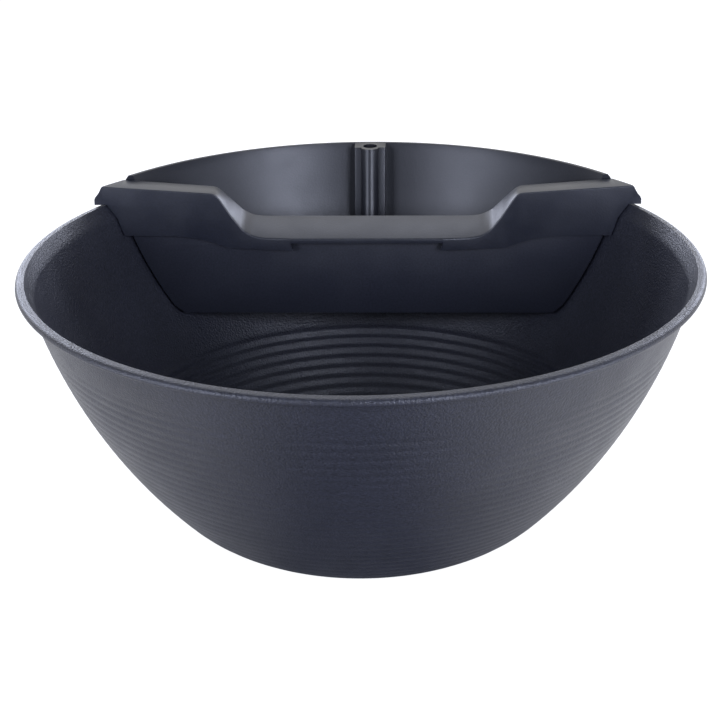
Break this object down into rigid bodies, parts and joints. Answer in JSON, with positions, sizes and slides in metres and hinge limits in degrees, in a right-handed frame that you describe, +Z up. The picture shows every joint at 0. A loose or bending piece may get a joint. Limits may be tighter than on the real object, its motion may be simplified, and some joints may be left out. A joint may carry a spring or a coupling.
{
  "type": "gold pan with classifier bin",
  "caption": "Deep round gold pan with a rounded lip and inner riffles; a D-shaped bin with a cross handle and a perforated floor hangs on its rim and lifts out.",
  "frame": {"origin": "centre of the pan's flat foot", "axes": "+Z up along the pan's axis, +Y towards the classifier bin, +X along the cross handle"},
  "size_m": [0.4, 0.4008, 0.179],
  "materials": {
    "charcoal_plastic": "moulded charcoal plastic with fine rings, semi-matte",
    "handle_plastic": "moulded charcoal plastic, satin",
    "plate_plastic": "smooth dark plastic, satin",
    "screen_plastic": "perforated dark plastic, matte",
    "zinc_steel": "zinc-plated steel"
  },
  "bodies": {
    "pan": {"pan_bowl": "charcoal_plastic"},
    "bin": {"bin_shell": "charcoal_plastic", "cross_handle": "handle_plastic", "front_plate": "plate_plastic", "screen_floor": "screen_plastic", "handle_screw_1": "zinc_steel", "handle_screw_2": "zinc_steel", "handle_screw_3": "zinc_steel", "handle_screw_4": "zinc_steel", "plate_screw_1": "zinc_steel", "plate_screw_2": "zinc_steel", "plate_screw_3": "zinc_steel", "plate_screw_4": "zinc_steel", "screen_screw_1": "zinc_steel", "screen_screw_2": "zinc_steel", "screen_screw_3": "zinc_steel", "screen_screw_4": "zinc_steel"}
  },
  "joints": [
    {"name": "bin_lift", "type": "slide", "parent": "pan", "child": "bin", "axis": [0, 0, 1], "range_m": [0, 0.1]}
  ]
}
